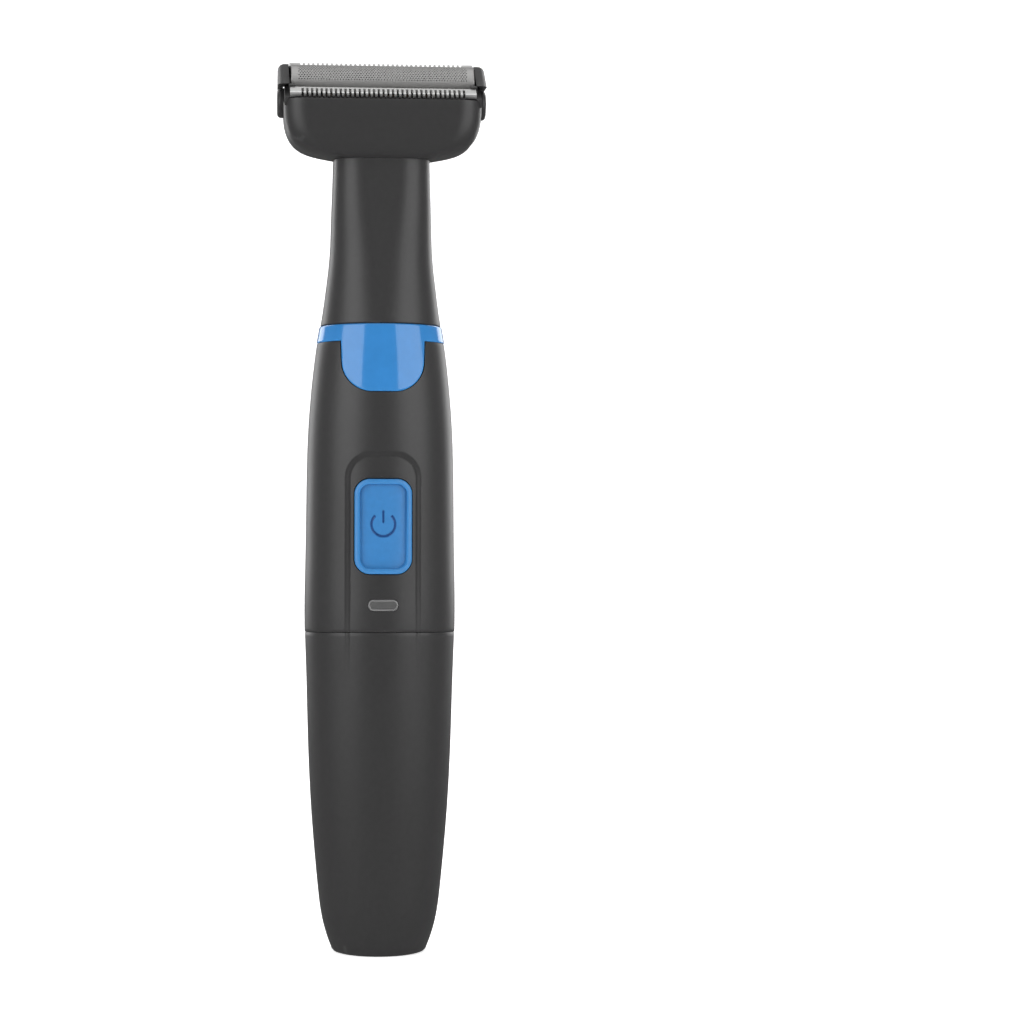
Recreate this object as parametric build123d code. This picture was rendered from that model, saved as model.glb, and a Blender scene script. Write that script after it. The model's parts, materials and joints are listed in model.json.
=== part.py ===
"""Body groomer: a hand-held trimmer with a tilted cutting head on a slim battery handle.

Frame: millimetres, +Z up, X across the width, the thumb button faces -Y.
The origin is the centre of the flat base that the handle stands on.
The head is laid out in its own frame, where Y runs from the front comb to the
rear comb and Z points out of the cutting surface.
"""
from build123d import *
import os
from math import sqrt

os.makedirs("parts", exist_ok=True)

# ---------------------------------------------------------------- driving dimensions
# Handle skin: radius and height of each point on its profile
HANDLE_PROFILE = [
    (9.3, 0), (10.7, 3.8), (12.35, 13.4), (13.6, 27.8), (14.4, 45), (14.72, 56.5),
    (15.0, 66.2), (14.85, 78), (14.65, 92.6), (14.3, 104.6), (13.5, 114.2),
    (12.6, 121.3), (11.75, 126.2), (11.0, 131),
]
SHELL_WALL = 1.7
SEAM_Z = 63.8            # parting line between the battery cap and the upper shell
SEAM_TILT = 2.7          # degrees, lower at the back
RING_Z0 = 121.2
RING_Z1 = 124.5
RING_TILT = 1.9
LINE_GAP = 0.08          # half of each visible parting line

# Neck: height, half width, half depth and how round its section is (1 is a circle)
NECK_SECTIONS = [
    (122.0, 12.45, 12.45, 0.99), (126.5, 11.65, 11.65, 0.97), (131.5, 10.95, 10.9, 0.92),
    (138.0, 10.2, 10.1, 0.8), (146.0, 9.85, 9.65, 0.64), (154.0, 9.55, 9.4, 0.53),
    (161.0, 9.4, 9.3, 0.5),
]
NECK_WALL = 1.5
NECK_BORE_R = 8.1
NECK_TOP_Z = 160.2

# Thumb recess, power button and indicator, on the front
RECESS_DEPTH = 0.65
RECESS_HALF_W = 6.2
RECESS_TOP_Z = 97.2
RECESS_FLARE = 35        # degrees
BUTTON_Z = 85.2
BUTTON_W = 11.3
BUTTON_H = 18.6
BUTTON_R = 2.6
BUTTON_RIM = 1.15
LENS_Z = 69.8
LENS_W = 6.1
LENS_H = 2.25

# Battery: one round cell of the AA size
CELL_R = 7.1
CELL_Z0 = 5.5
CELL_LENGTH = 50.5
CELL_NUB = 1.5
TUBE_R = 8.4
BULKHEAD_Z = CELL_Z0 + CELL_LENGTH + 0.4
SPIGOT_R = 12.95
BOARD_Y = -7.6           # front face of the circuit board

# Motor and eccentric drive, on the handle axis
MOTOR_Z0 = 111.0
MOTOR_Z1 = 136.0
MOTOR_R = 7.8
SHAFT_R = 1.0
SHAFT_CLEAR = 0.05
CRANK = 0.8              # the drive pin's offset, and half of the cutters' stroke
PIN_R = 0.8

# Head
HEAD_Y = -4.6
HEAD_Z = 173.5
HEAD_TILT = 32.0         # degrees, towards the front
# Bowl: height, half width, front and rear Y, and corner radius in plan
BOWL_SECTIONS = [
    (157.4, 8.6, -9.4, 2.4, 4.0), (157.75, 11.6, -10.3, 3.9, 4.2), (158.5, 14.5, -11.0, 5.2, 4.5),
    (159.8, 16.9, -11.5, 6.4, 4.7), (161.8, 18.45, -11.75, 7.5, 4.8), (164.8, 19.3, -11.8, 8.8, 4.8),
    (170.0, 19.4, -11.8, 9.3, 4.8), (180.0, 19.4, -11.8, 9.3, 4.8),
]
FRONT_WALL_Z = 168.7     # top of the head's front wall
MOUTH_N = -2.95          # top of the head's side walls, in the head's frame
FRONT_V = -7.0
SKIRT_V = 6.75           # outside of the rear skirt
SKIRT_T = 1.0
EAR_HALF_W = 20.6
EAR_INNER = 18.4
EAR_LOW_Z = 171.8        # the ears end just above the release buttons
TIP_V = 7.0              # comb tips
COMB_HALF_W = 18.25
TOOTH_PITCH = 0.93
TOOTH_COUNT = 34
TOOTH_GAP = 0.48
BLADE_TEETH = 34         # the moving trimmer blades, short enough for their stroke inside the combs
FOIL_R = 5.0
FOIL_HALF_V = 3.3
FOIL_T = 0.15
FOIL_EDGE_N = 0.75
RELEASE_V = 0.4
RELEASE_N = -5.9
RELEASE_R = 2.95

HEAD = Location((0, HEAD_Y, HEAD_Z), (HEAD_TILT, 0, 0))
UP = (Align.CENTER, Align.CENTER, Align.MIN)
FRONT = Plane.XZ         # drawn as seen from the front, and extruded towards -Y


# ---------------------------------------------------------------- shared shapes
def save(name, *solids):
    """Write one node, as one solid or as a group of separate solids."""
    flat = [s for shape in solids for s in shape.solids()]
    export_step(flat[0] if len(flat) == 1 else Compound(children=flat), f"parts/{name}.step")


def block(x, y, z):
    """A box from its lowest and highest coordinate on each axis."""
    size = [b - a for a, b in (x, y, z)]
    centre = [(a + b) / 2 for a, b in (x, y, z)]
    return Pos(*centre) * Box(*size)


def rod(radius, z0, z1, x=0.0, y=0.0):
    """An upright cylinder between two heights."""
    return Pos(x, y, z0) * Cylinder(radius, z1 - z0, align=UP)


def tube(outer, inner, z0, z1):
    """An upright tube between two heights."""
    return rod(outer, z0, z1) - rod(inner, z0 - 1, z1 + 1)


def skin(offset, fade=None):
    """The handle's solid of revolution, with its radius offset; fade(z) takes more off."""
    points = [(r + offset - (fade(z) if fade else 0), z) for r, z in HANDLE_PROFILE]
    side = Spline([(r, 0, z) for r, z in points])
    rest = Polyline((points[-1][0], 0, points[-1][1]), (0, 0, points[-1][1]),
                    (0, 0, points[0][1]), (points[0][0], 0, points[0][1]))
    return revolve(make_face([side, rest]), Axis.Z)


def slab(z0, z1, tilt=0.0):
    """All space between two heights on the axis, with both planes tilted lower at the back."""
    return Pos(0, 0, z0) * Rot(-tilt, 0, 0) * Box(80, 80, z1 - z0, align=UP)


def front_prism(outline, y0, y1):
    """A sketch seen from the front, carried from depth y0 out to y1 (y1 is nearer the front)."""
    return extrude(FRONT.offset(-y0) * outline, y0 - y1)


# ---------------------------------------------------------------- casings
def thumb_recess():
    """The arch-topped channel: a flared prism, kept outside a slightly smaller handle skin."""
    def floor(z):
        rise = min(max((z - 50) / 28, 0), 1)
        return RECESS_DEPTH * rise * rise * (3 - 2 * rise) - 0.12 * (z < 50)

    low = 44
    arch = Pos(0, (RECESS_TOP_Z + low) / 2) * Rectangle(2 * RECESS_HALF_W, RECESS_TOP_Z - low)
    arch = fillet(arch.vertices().group_by(Axis.Y)[-1], 4.2)
    channel = extrude(FRONT.offset(11.5) * arch, 5, taper=-RECESS_FLARE)
    return channel - skin(0, floor)


def tab_outline(grow):
    """The shield-shaped tab under the ring, grown by a margin."""
    top = RING_Z0 + 2
    half_top = 8.35 + grow
    half_low = 7.9 + grow
    low = 111.6 - grow
    shield = make_face(Polyline((-half_top, top), (half_top, top), (half_low, low),
                                (-half_low, low), close=True))
    return fillet(shield.vertices().group_by(Axis.Y)[0], 5.6)


def button_outline(grow):
    return Pos(0, BUTTON_Z) * RectangleRounded(BUTTON_W + 2 * grow, BUTTON_H + 2 * grow,
                                               BUTTON_R + grow)


def lens_outline(grow):
    return Pos(0, LENS_Z) * SlotOverall(LENS_W + 2 * grow, LENS_H + 2 * grow)


def battery_cap():
    """The lower third of the handle: a deep cup that pulls off the battery tube."""
    mouth_r = SPIGOT_R + 0.1
    cup = skin(-0.1) & slab(-30, SEAM_Z - LINE_GAP, SEAM_TILT)
    cup -= skin(-SHELL_WALL) & slab(2, 54)
    cup -= rod(mouth_r, 53, 80)
    return cup - thumb_recess()


def upper_shell():
    """The sleeve round the switch and the motor's lower half."""
    shell = skin(0) & slab(SEAM_Z + LINE_GAP, 130, SEAM_TILT)
    shell -= slab(RING_Z0 - LINE_GAP, 160, RING_TILT)
    shell -= skin(-SHELL_WALL)
    shell -= thumb_recess()
    shell -= front_prism(button_outline(0.15), 0, -20)
    shell -= front_prism(lens_outline(0.08), 0, -20)
    pocket = front_prism(tab_outline(0.1), 0, -20) - skin(-1.0)
    return shell - pocket


def accent_ring():
    """The coloured band between neck and handle, its front tab, and the sleeve inside it."""
    band = skin(0.1) & slab(RING_Z0, RING_Z1, RING_TILT)
    sleeve = tube(10.7, 10.0, 117, 122)
    tab = (front_prism(tab_outline(0), 0, -20) & skin(0.15)) - skin(-0.95)
    tab -= slab(RING_Z0 + 0.5, 160, RING_TILT)
    return (band - rod(10.0, 100, 140)) + sleeve + tab


def neck_section(z, half_w, half_d, roundness, wall):
    w = half_w - wall
    d = half_d - wall
    radius = min(w, d) * roundness
    return Pos(0, 0, z) * RectangleRounded(2 * w, 2 * d, radius)


def neck_solid(wall):
    return loft([neck_section(*row, wall) for row in NECK_SECTIONS])


def neck_shell():
    """The tapering neck: round at the ring, nearly square with round corners at the head."""
    shell = neck_solid(0) - neck_solid(NECK_WALL) - rod(NECK_BORE_R, 138, 170)
    shell -= slab(100, RING_Z1 + LINE_GAP, RING_TILT)
    shell -= slab(NECK_TOP_Z, 200)
    return shell - bowl(LINE_GAP)


# ---------------------------------------------------------------- battery and electronics
def inner_frame():
    """The chassis: battery tube, sealing spigot, the board's spine and the motor's seat."""
    frame = tube(TUBE_R, CELL_R + 0.2, 12, BULKHEAD_Z)
    frame += rod(TUBE_R, BULKHEAD_Z, BULKHEAD_Z + 2)
    frame += tube(SPIGOT_R, TUBE_R - 0.5, BULKHEAD_Z, BULKHEAD_Z + 2)
    spigot = tube(SPIGOT_R, 11.3, 54.5, 66.0)
    groove = tube(SPIGOT_R + 1, SPIGOT_R - 0.95, 58.9, 60.5)
    frame += spigot - groove
    frame += block((-8.8, 8.8), (-6.5, -4.3), (57, 110))
    frame += block((-1.0, 1.0), (-4.5, 11.0), (57, 109))
    frame += rod(11.6, 109, MOTOR_Z0) - rod(3.0, 100, 120)
    for x in (-6.5, 6.5):
        frame -= Pos(x, 0, 104.5) * Rot(90, 0, 0) * Cylinder(0.75, 30)
    slot_for_strip = block((-2.1, 2.1), (TUBE_R - 0.3, TUBE_R + 2), (0, 55))
    return frame - slot_for_strip


def battery_cell():
    body = rod(CELL_R, CELL_Z0, CELL_Z0 + CELL_LENGTH - CELL_NUB)
    body = fillet(body.edges().filter_by(GeomType.CIRCLE), 0.5)
    return body + rod(2.75, CELL_Z0 + CELL_LENGTH - CELL_NUB, CELL_Z0 + CELL_LENGTH)


def battery_spring():
    """A short conical coil under the cell, drawn at its compressed height."""
    wire = 0.35
    z0 = 2.4 + wire
    height = CELL_Z0 - 2.4 - 2 * wire
    path = Pos(0, 0, z0) * Helix(height / 2.5, height, 4.6, cone_angle=-20)
    return sweep(Plane(path @ 0, z_dir=path % 0) * Circle(wire), path)


def cap_contact():
    """The plate under the spring, with a tongue up to the strip on the battery tube."""
    side = [(6.5, 2.0), (7.6, 2.0), (8.85, 8), (8.85, 22), (8.5, 22), (8.5, 8), (7.4, 2.4), (6.5, 2.4)]
    tongue = extrude(Plane.YZ * make_face(Polyline(*side, close=True)), 2, both=True)
    return rod(7.5, 2.0, 2.4) + tongue


def negative_strip():
    """The strip down the outside of the tube that the cap's tongue touches."""
    return block((-2, 2), (8.12, 8.42), (13, 54))


def top_contact():
    return rod(4.5, BULKHEAD_Z - 0.4, BULKHEAD_Z) & block((-4.5, 4.5), (-2.5, 2.5), (50, 60))


def body_seal():
    """The O-ring on the spigot, drawn as seated."""
    return Pos(0, 0, 59.7) * Torus(SPIGOT_R - 0.47, 0.45)


def circuit_board():
    board = block((-8.5, 8.5), (BOARD_Y, BOARD_Y + 1.1), (67, 108))
    for x in (-6.5, 6.5):
        board -= Pos(x, BOARD_Y, 104.5) * Rot(90, 0, 0) * Cylinder(1.0, 6)
    return board


def board_components():
    """Charge and motor control chip, capacitor and two resistors."""
    chip = block((-2.5, 2.5), (BOARD_Y - 1.2, BOARD_Y), (98, 103))
    capacitor = Pos(5.2, BOARD_Y, 72.4) * Rot(90, 0, 0) * Cylinder(2.0, 2.2, align=UP)
    resistors = [block((x, x + 1.6), (BOARD_Y - 0.5, BOARD_Y), (72, 72.9)) for x in (-6.5, -4.2)]
    return [chip, capacitor, *resistors]


def board_screws():
    """Two pan-head screws that hold the board on the frame's spine."""
    shank = Cylinder(0.7, 4.0, align=(Align.CENTER, Align.CENTER, Align.MAX))
    head = Cylinder(1.6, 1.0, align=UP) - Box(0.5, 2.2, 1.0)
    return [Pos(x, BOARD_Y, 104.5) * Rot(90, 0, 0) * (shank + head) for x in (-6.5, 6.5)]


def tact_switch():
    can = block((-3, 3), (BOARD_Y - 1.5, BOARD_Y), (BUTTON_Z - 3, BUTTON_Z + 3))
    return can + Pos(0, BOARD_Y, BUTTON_Z) * Rot(90, 0, 0) * Cylinder(1.7, 1.8, align=UP)


def power_button():
    """A rounded cap with a raised rim, a dished face, an engraved symbol and a flange behind."""
    cap = front_prism(button_outline(0), -10.4, -20) & skin(0.15)
    face = front_prism(button_outline(-BUTTON_RIM), 0, -20)
    cap -= face - skin(-0.35)
    cap -= front_prism(power_symbol(), 0, -20) - skin(-0.5)
    flange = block((-6.4, 6.4), (-11.1, -10.4), (BUTTON_Z - 10.1, BUTTON_Z + 10.1))
    stem = Pos(0, -10.4, BUTTON_Z) * Rot(-90, 0, 0) * Cylinder(1.5, 0.4, align=UP)
    return cap + flange + stem


def power_symbol():
    """The standby sign: a ring open at the top and a bar."""
    ring = Circle(2.55) - Circle(2.1)
    ring -= make_face(Polyline((0, 0), (-3, 3), (3, 3), close=True))
    return Pos(0, BUTTON_Z - 0.3) * (ring + Pos(0, 1.5) * Rectangle(0.45, 2.5))


def button_seal():
    """The soft frame behind the button's flange, with room for the button's travel."""
    outline = Pos(0, BUTTON_Z) * (RectangleRounded(12.6, 20, 2) - RectangleRounded(9, 16.4, 1))
    return front_prism(outline, BOARD_Y, -9.8)


def indicator_lens():
    """The clear light pipe over the lamp."""
    pipe = front_prism(lens_outline(0), -9.0, -20) & skin(-0.25)
    flange = front_prism(lens_outline(0.8), -9.0, -10)
    return pipe + flange


def indicator_led():
    return block((-1.0, 1.0), (BOARD_Y - 0.8, BOARD_Y), (LENS_Z - 0.65, LENS_Z + 0.65))


# ---------------------------------------------------------------- motor and drive
def motor_can():
    can = rod(MOTOR_R, MOTOR_Z0 + 3, MOTOR_Z1) - rod(7.2, MOTOR_Z0, MOTOR_Z1 - 1)
    can -= rod(2.2, 120, 150)
    for x in (-5, 5):
        can -= rod(1.0, 130, 140, x)
    return can


def motor_end_bell():
    return rod(MOTOR_R, MOTOR_Z0, MOTOR_Z0 + 3) - rod(SHAFT_R + SHAFT_CLEAR, MOTOR_Z0 + 1, 120)


def motor_bushing():
    return tube(2.2, SHAFT_R + SHAFT_CLEAR, MOTOR_Z1 - 1.5, MOTOR_Z1 + 2.5)


def motor_magnets():
    """Two curved magnets inside the can."""
    wedge = block((-20, 20), (-3.2, 3.2), (100, 140))
    return tube(7.15, 5.9, MOTOR_Z0 + 5, MOTOR_Z0 + 20) - wedge


def motor_armature():
    """The wound rotor: three poles on the shaft."""
    core = tube(5.6, SHAFT_R, MOTOR_Z0 + 6, MOTOR_Z0 + 19)
    for turn in (0, 120, 240):
        slot = block((3.2, 8), (-0.6, 0.6), (100, 140))
        core -= Rot(0, 0, turn) * slot
    return core


def motor_shaft():
    return rod(SHAFT_R, MOTOR_Z0 + 1.2, 146.5)


def motor_holder():
    """A cup over the motor's top that centres it in the neck."""
    cup = rod(8.3, 128, MOTOR_Z1 + 2) - rod(MOTOR_R + 0.05, 120, MOTOR_Z1)
    cup -= rod(2.3, 130, 150)
    for x in (-5, 5):
        cup -= rod(1.1, 130, 150, x)
    return cup


def motor_screws():
    top = MOTOR_Z1 + 2
    screws = []
    for x in (-5, 5):
        head = rod(1.8, top, top + 1.1, x) - block((x - 0.25, x + 0.25), (-2, 2), (top + 0.6, top + 2))
        screws.append(rod(0.95, top - 4, top, x) + head)
    return screws


def eccentric_cam():
    """The hub on the shaft and its off-centre drive pin."""
    hub = tube(3.2, SHAFT_R, 141, 146.5) + rod(3.2, 146.5, 147.3)
    return hub + rod(PIN_R, 147.3, 152.8, CRANK)


def drive_yoke():
    """The slotted slider that the pin swings from side to side, its post and its peg."""
    slot_x = PIN_R + 2 * CRANK + 0.1
    slot_y = PIN_R + CRANK + 0.15
    slider = block((-5.2, 5.2), (-3.2, 3.2), (149, 155))
    slider -= block((-slot_x, slot_x), (-slot_y, slot_y), (140, 153.4))
    post = block((-2, 2), (-1.5, 1.5), (154, 163.4))
    peg = HEAD * block((-1.5, 1.5), (-1.4, 1.4), (-13, -7))
    return slider + post + peg


# ---------------------------------------------------------------- head
def bowl(grow=0.0):
    """The head's outer solid: a round-cornered bowl, cut by the slanted mouth and rear planes."""
    sections = []
    for z, half_w, front, rear, radius in BOWL_SECTIONS:
        plan = RectangleRounded(2 * (half_w + grow), rear - front + 2 * grow, radius + grow)
        sections.append(Pos(0, (front + rear) / 2, z - grow) * plan)
    outer = loft(sections)
    side_line = [
        (-15, FRONT_WALL_Z), (-15, 150), (20, 150), head_point(SKIRT_V + grow, -22),
        head_point(SKIRT_V + grow, MOUTH_N), head_point(FRONT_V - 0.05, MOUTH_N),
        head_point(FRONT_V - 0.05, -1.3),
    ]
    keep = extrude(Plane.YZ * make_face(Polyline(*side_line, close=True)), 30, both=True)
    return outer & keep


def head_point(v, n):
    """A point of the head's own frame, as Y and Z of the handle's frame."""
    p = HEAD * Pos(0, v, n)
    return (p.position.Y, p.position.Z)


def skirt_outline(grow):
    """The rear skirt seen along its own normal: wide, with a lower edge that lifts at the ends."""
    half = 19.2 + grow
    low = -14.7 - grow
    top = MOUTH_N + 0.1
    right = Line((half, top), (half, low + 6))
    corner = Spline([(half, low + 6), (half - 3.5, low + 1.6), (half - 9, low)],
                    tangents=[(0, -1), (-1, 0)])
    base = Line((half - 9, low), (9 - half, low))
    left_corner = Spline([(9 - half, low), (3.5 - half, low + 1.6), (-half, low + 6)],
                         tangents=[(-1, 0), (0, 1)])
    left = Line((-half, low + 6), (-half, top))
    return make_face([right, corner, base, left_corner, left, Line((-half, top), (half, top))])


def skirt(grow):
    return extrude(Plane.XZ.offset(-SKIRT_V - 3 * grow) * skirt_outline(grow), SKIRT_T + 4 * grow)


def head_base():
    """The bowl under the cutting unit, with its cavity, its collar and its spigot in the neck."""
    base = bowl()
    cavity = block((-18.0, 18.0), (-6.4, 4.6), (-10, 20))
    base -= HEAD * cavity
    base -= HEAD * skirt(0.08)
    base += collar()
    spigot = rod(NECK_BORE_R - 0.1, 148.5, 159)
    base += spigot - tube(10, 7.2, 153.4, 154.9)
    base -= block((-6.5, 6.5), (-3.7, 3.7), (140, 155.8))
    base -= block((-3.4, 3.4), (-2.2, 4.4), (150, 167))
    for side in (-1, 1):
        base -= HEAD * release_bore(side)
    return base


def collar():
    """The short step behind the head that carries the neck's outline upwards."""
    step = neck_solid(0) & slab(NECK_TOP_Z + LINE_GAP, 161)
    above = Pos(0, 0, 161) * extrude(RectangleRounded(18.8, 18.2, 5.6), 2.0)
    above = fillet(above.edges().group_by(Axis.Z)[-1], 0.8)
    return (step + above) & block((-8.6, 8.6), (2, 12), (150, 170))


def release_bore(side):
    return Pos(side * 18.5, RELEASE_V, RELEASE_N) * Rot(0, 90, 0) * Cylinder(RELEASE_R + 0.1, 6)


def release_button(side):
    """A side button: a round cap that stands proud of the head, on a flange inside it."""
    cap = Rot(0, 90, 0) * Cylinder(RELEASE_R, 3.1, align=UP)
    cap = Pos(17.6, RELEASE_V, RELEASE_N) * fillet(cap.edges().group_by(Axis.X)[-1], 0.8)
    flange = block((17.1, 17.9), (RELEASE_V - 3.6, RELEASE_V + 3.6), (-9.3, -3.1))
    button = cap + flange
    return HEAD * (button if side > 0 else mirror(button, Plane.YZ))


def neck_seal():
    return Pos(0, 0, 154.15) * Torus(7.64, 0.42)


def ear(side):
    """An end ear of the cassette, level below and slanted above, proud of the head's side."""
    outline = [(-8.2, EAR_LOW_Z), head_point(5.6, 0.15), head_point(6.6, -0.8), (4.3, EAR_LOW_Z)]
    whole = extrude(Plane.YZ.offset(EAR_INNER) * make_face(Polyline(*outline, close=True)),
                    EAR_HALF_W - EAR_INNER)
    outer_edges = whole.faces().sort_by(Axis.X)[-1].edges().sort_by(Axis.Z)
    whole = fillet(outer_edges[1:], 1.3)
    over_side = whole & block((19.5, 30), (-20, 20), (150, 190))
    over_mouth = whole & (HEAD * block((0, 19.6), (-20, 20), (MOUTH_N + 0.1, 10)))
    shape = over_side + over_mouth
    return shape if side > 0 else mirror(shape, Plane.YZ)


def foil_frame():
    """The cassette's black frame: rim, end ears with clips, rear skirt with its windows."""
    rim = block((-19.3, 19.3), (-6.9, SKIRT_V), (MOUTH_N + 0.1, -1.1))
    rim -= block((-18.1, 18.1), (-5.9, 5.7), (-5, 5))
    frame = rim + skirt(0)
    for side in (-1, 1):
        inner = sorted((side * 17.2, side * 18.5))
        frame += block(inner, (3.75, 4.35), (-1.1, 0.35))
        frame += block(inner, (-4.35, -3.75), (-1.1, 0.35))
    for i in range(9):
        x = (i - 4) * 3.52
        frame -= block((x - 1.23, x + 1.23), (5, 8), (-3.45, -1.95))
    return HEAD * frame + ear(-1) + ear(1)


def comb(side):
    """A guard comb: sheet folded round the moving blade, slotted into teeth."""
    inner, outer = sorted((side * 4.4, side * TIP_V))
    body = block((-COMB_HALF_W, COMB_HALF_W), (inner, outer), (-1.1, 0))
    tip_edges = body.edges().filter_by(Axis.X).group_by(Axis.Y)[-1 if side > 0 else 0]
    body = fillet(tip_edges, 0.5)
    pocket = sorted((side * 4.0, side * 6.6))
    body -= block((-COMB_HALF_W + 1.2, COMB_HALF_W - 1.2), pocket, (-0.85, -0.25))
    reach = sorted((side * 5.0, side * 8.0))
    for i in range(TOOTH_COUNT + 1):
        x = (i - TOOTH_COUNT / 2) * TOOTH_PITCH
        body -= block((x - TOOTH_GAP / 2, x + TOOTH_GAP / 2), reach, (-2, 1))
    return body


def trimmer_blade(side):
    """The moving blade inside a comb: a strip of pointed teeth."""
    half = BLADE_TEETH * TOOTH_PITCH / 2
    root = side * 5.1
    tip = side * 6.45
    outline = [(-half, side * 3.75), (-half, root)]
    for i in range(BLADE_TEETH):
        left = -half + i * TOOTH_PITCH
        outline += [(left + 0.25, tip), (left + 0.55, tip), (left + 0.75, root),
                    (left + TOOTH_PITCH, root)]
    outline += [(half, side * 3.75)]
    return Pos(0, 0, -0.7) * extrude(make_face(Polyline(*outline, close=True)), 0.3)


def foil():
    """The shaving foil: an arched sheet with a leg down each side."""
    centre = FOIL_EDGE_N - sqrt(FOIL_R ** 2 - FOIL_HALF_V ** 2)
    apex = centre + FOIL_R
    outer = [(-FOIL_HALF_V, FOIL_EDGE_N), (0, apex), (FOIL_HALF_V, FOIL_EDGE_N)]
    inner = [(FOIL_HALF_V - FOIL_T, FOIL_EDGE_N - 0.05), (0, apex - FOIL_T),
             (FOIL_T - FOIL_HALF_V, FOIL_EDGE_N - 0.05)]
    low = -2.8
    edges = [
        ThreePointArc(*outer), Line(outer[2], (FOIL_HALF_V, low)),
        Line((FOIL_HALF_V, low), (inner[0][0], low)), Line((inner[0][0], low), inner[0]),
        ThreePointArc(*inner), Line(inner[2], (inner[2][0], low)),
        Line((inner[2][0], low), (-FOIL_HALF_V, low)), Line((-FOIL_HALF_V, low), outer[0]),
    ]
    return Pos(0, 0.3, 0) * extrude(Plane.YZ * make_face(edges), 18.0, both=True)


def foil_cutter():
    """The thin arched blades that sweep under the foil."""
    centre = FOIL_EDGE_N - sqrt(FOIL_R ** 2 - FOIL_HALF_V ** 2)
    disc = Pos(0, centre) * Circle(FOIL_R - FOIL_T - 0.1)
    window = Pos(0, -1.2) * Rectangle(5.6, 6.2)
    arch = disc & window
    hollow = Pos(0, -2.6) * Rectangle(3.4, 5.0)
    blade = extrude(Plane.YZ * (arch - hollow), 0.3)
    return [Pos(i * 1.25 - 15.15, 0.3, 0) * blade for i in range(25)]


def cutter_carrier():
    """The block that carries the arched blades, with an arm out to each moving blade."""
    carrier = block((-14.8, 14.8), (-2.4, 2.9), (-8.2, -4.3))
    for side in (-1, 1):
        inner, outer = sorted((side * 2.2, side * 4.25))
        carrier += block((-12, 12), (inner, outer), (-5.2, -4.3))
        inner, outer = sorted((side * 3.85, side * 4.25))
        carrier += block((-12, 12), (inner, outer), (-5.2, -0.7))
    return carrier - block((-1.6, 1.6), (-1.55, 1.55), (-9, -6.4))


# ---------------------------------------------------------------- write every node
save("battery_cap", battery_cap())
save("upper_shell", upper_shell())
save("accent_ring", accent_ring())
save("neck_shell", neck_shell())
save("inner_frame", inner_frame())
save("battery_cell", battery_cell())
save("battery_spring", battery_spring())
save("cap_contact", cap_contact())
save("negative_strip", negative_strip())
save("top_contact", top_contact())
save("body_seal", body_seal())
save("circuit_board", circuit_board())
save("board_components", *board_components())
save("board_screws", *board_screws())
save("tact_switch", tact_switch())
save("power_button", power_button())
save("button_seal", button_seal())
save("indicator_lens", indicator_lens())
save("indicator_led", indicator_led())
save("motor_can", motor_can())
save("motor_end_bell", motor_end_bell())
save("motor_bushing", motor_bushing())
save("motor_magnets", motor_magnets())
save("motor_armature", motor_armature())
save("motor_shaft", motor_shaft())
save("motor_holder", motor_holder())
save("motor_screws", *motor_screws())
save("eccentric_cam", eccentric_cam())
save("drive_yoke", drive_yoke())
save("head_base", head_base())
save("neck_seal", neck_seal())
save("release_button_left", release_button(-1))
save("release_button_right", release_button(1))
save("foil_frame", foil_frame())
save("front_comb", HEAD * comb(-1))
save("rear_comb", HEAD * comb(1))
save("foil", HEAD * foil())
save("foil_cutter", *[HEAD * blade for blade in foil_cutter()])
save("front_trimmer_blade", HEAD * trimmer_blade(-1))
save("rear_trimmer_blade", HEAD * trimmer_blade(1))
save("cutter_carrier", HEAD * cutter_carrier())
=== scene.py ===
# %% [markdown]
# # Finishing a body groomer around its CAD frame
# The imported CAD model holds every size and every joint. Here it is the fixed frame: each
# visible casing gets a finer surface in the same place, and every part gets its real finish.
# All shapes below are worked out in millimetres and put into Blender in metres.

import json
from math import cos, radians, sin, sqrt, tan

import bmesh
import bpy
import numpy as np
from mathutils import Euler, Matrix


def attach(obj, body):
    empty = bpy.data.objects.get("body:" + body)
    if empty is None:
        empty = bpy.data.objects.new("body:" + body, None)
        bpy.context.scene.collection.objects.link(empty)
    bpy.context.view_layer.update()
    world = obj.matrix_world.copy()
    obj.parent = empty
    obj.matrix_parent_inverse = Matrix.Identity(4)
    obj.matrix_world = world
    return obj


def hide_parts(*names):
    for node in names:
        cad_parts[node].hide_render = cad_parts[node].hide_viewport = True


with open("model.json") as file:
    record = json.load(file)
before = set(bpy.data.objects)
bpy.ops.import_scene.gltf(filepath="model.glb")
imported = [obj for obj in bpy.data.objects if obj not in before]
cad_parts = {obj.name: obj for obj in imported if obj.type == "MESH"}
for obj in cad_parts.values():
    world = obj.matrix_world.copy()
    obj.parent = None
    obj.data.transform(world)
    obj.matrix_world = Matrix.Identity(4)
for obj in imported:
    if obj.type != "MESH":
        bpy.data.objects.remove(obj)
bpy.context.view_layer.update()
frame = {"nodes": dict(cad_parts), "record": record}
nodes = frame["nodes"]
MM = 0.001

# %% [markdown]
# ## The camera
# A product picture of a slim upright tool is taken with a long lens from more than half a
# metre away, a little above its middle. The long lens keeps the handle's sides nearly
# parallel. The camera looks slightly down and past the tool, so that the tool stands left of
# the middle with its whole length in view.

# %% Camera
CAMERA_PLACE = (-28.9, -599.3, 101.5)
CAMERA_DOWN = 1.31       # degrees below level
CAMERA_TURN = 5.28       # degrees to the right
CAMERA_ROLL = 0.23
CAMERA_LENS = 105.54

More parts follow.
